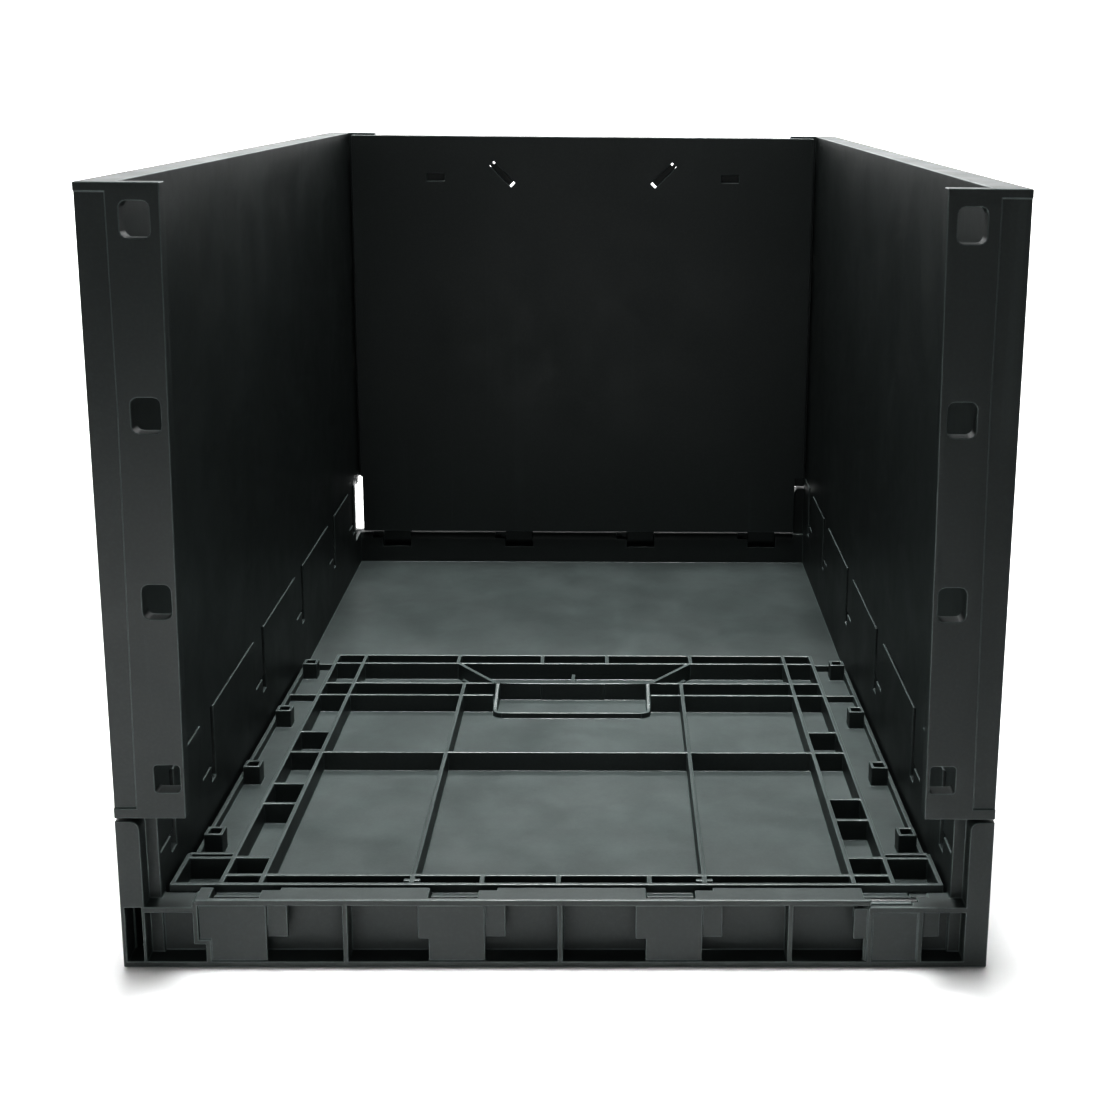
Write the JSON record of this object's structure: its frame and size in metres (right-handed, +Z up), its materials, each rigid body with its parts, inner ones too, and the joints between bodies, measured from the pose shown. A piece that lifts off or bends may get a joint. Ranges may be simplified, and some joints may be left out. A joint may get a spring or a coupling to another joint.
{
  "type": "folding tote",
  "caption": "Open-topped folding storage tote with a base tray, two ribbed fold-down end panels and two tall side walls on pinned hinges.",
  "frame": {"origin": "middle of the footprint, on the surface that the tote stands on", "axes": "+X across the tote to the right as seen from its open front end, +Y from the front end (folded panel) to the rear end (standing panel), +Z up"},
  "size_m": [0.4, 0.6, 0.36],
  "materials": {
    "tote_plastic": "fine-textured black moulded polypropylene",
    "pin_plastic": "plain black moulded plastic"
  },
  "bodies": {
    "tote_body": {"base_tray": "tote_plastic", "left_side_wall": "tote_plastic", "right_side_wall": "tote_plastic", "front_hinge_pin_1": "pin_plastic", "front_hinge_pin_2": "pin_plastic", "front_hinge_pin_3": "pin_plastic", "front_hinge_pin_4": "pin_plastic", "rear_hinge_pin_1": "pin_plastic", "rear_hinge_pin_2": "pin_plastic", "rear_hinge_pin_3": "pin_plastic", "rear_hinge_pin_4": "pin_plastic", "left_hinge_pin_1": "pin_plastic", "left_hinge_pin_2": "pin_plastic", "left_hinge_pin_3": "pin_plastic", "left_hinge_pin_4": "pin_plastic", "left_hinge_pin_5": "pin_plastic", "left_hinge_pin_6": "pin_plastic", "right_hinge_pin_1": "pin_plastic", "right_hinge_pin_2": "pin_plastic", "right_hinge_pin_3": "pin_plastic", "right_hinge_pin_4": "pin_plastic", "right_hinge_pin_5": "pin_plastic", "right_hinge_pin_6": "pin_plastic"},
    "front_panel": {"front_end_panel": "tote_plastic"},
    "rear_panel": {"rear_end_panel": "tote_plastic"}
  },
  "joints": [
    {"name": "front_panel_fold", "type": "hinge", "parent": "tote_body", "child": "front_panel", "pos_m": [0, -0.293, 0.0288], "axis": [1, 0, 0], "range_deg": [0, 91.67]},
    {"name": "rear_panel_fold", "type": "hinge", "parent": "tote_body", "child": "rear_panel", "pos_m": [0, 0.293, 0.0293], "axis": [1, 0, 0], "range_deg": [0, 88.8]}
  ]
}
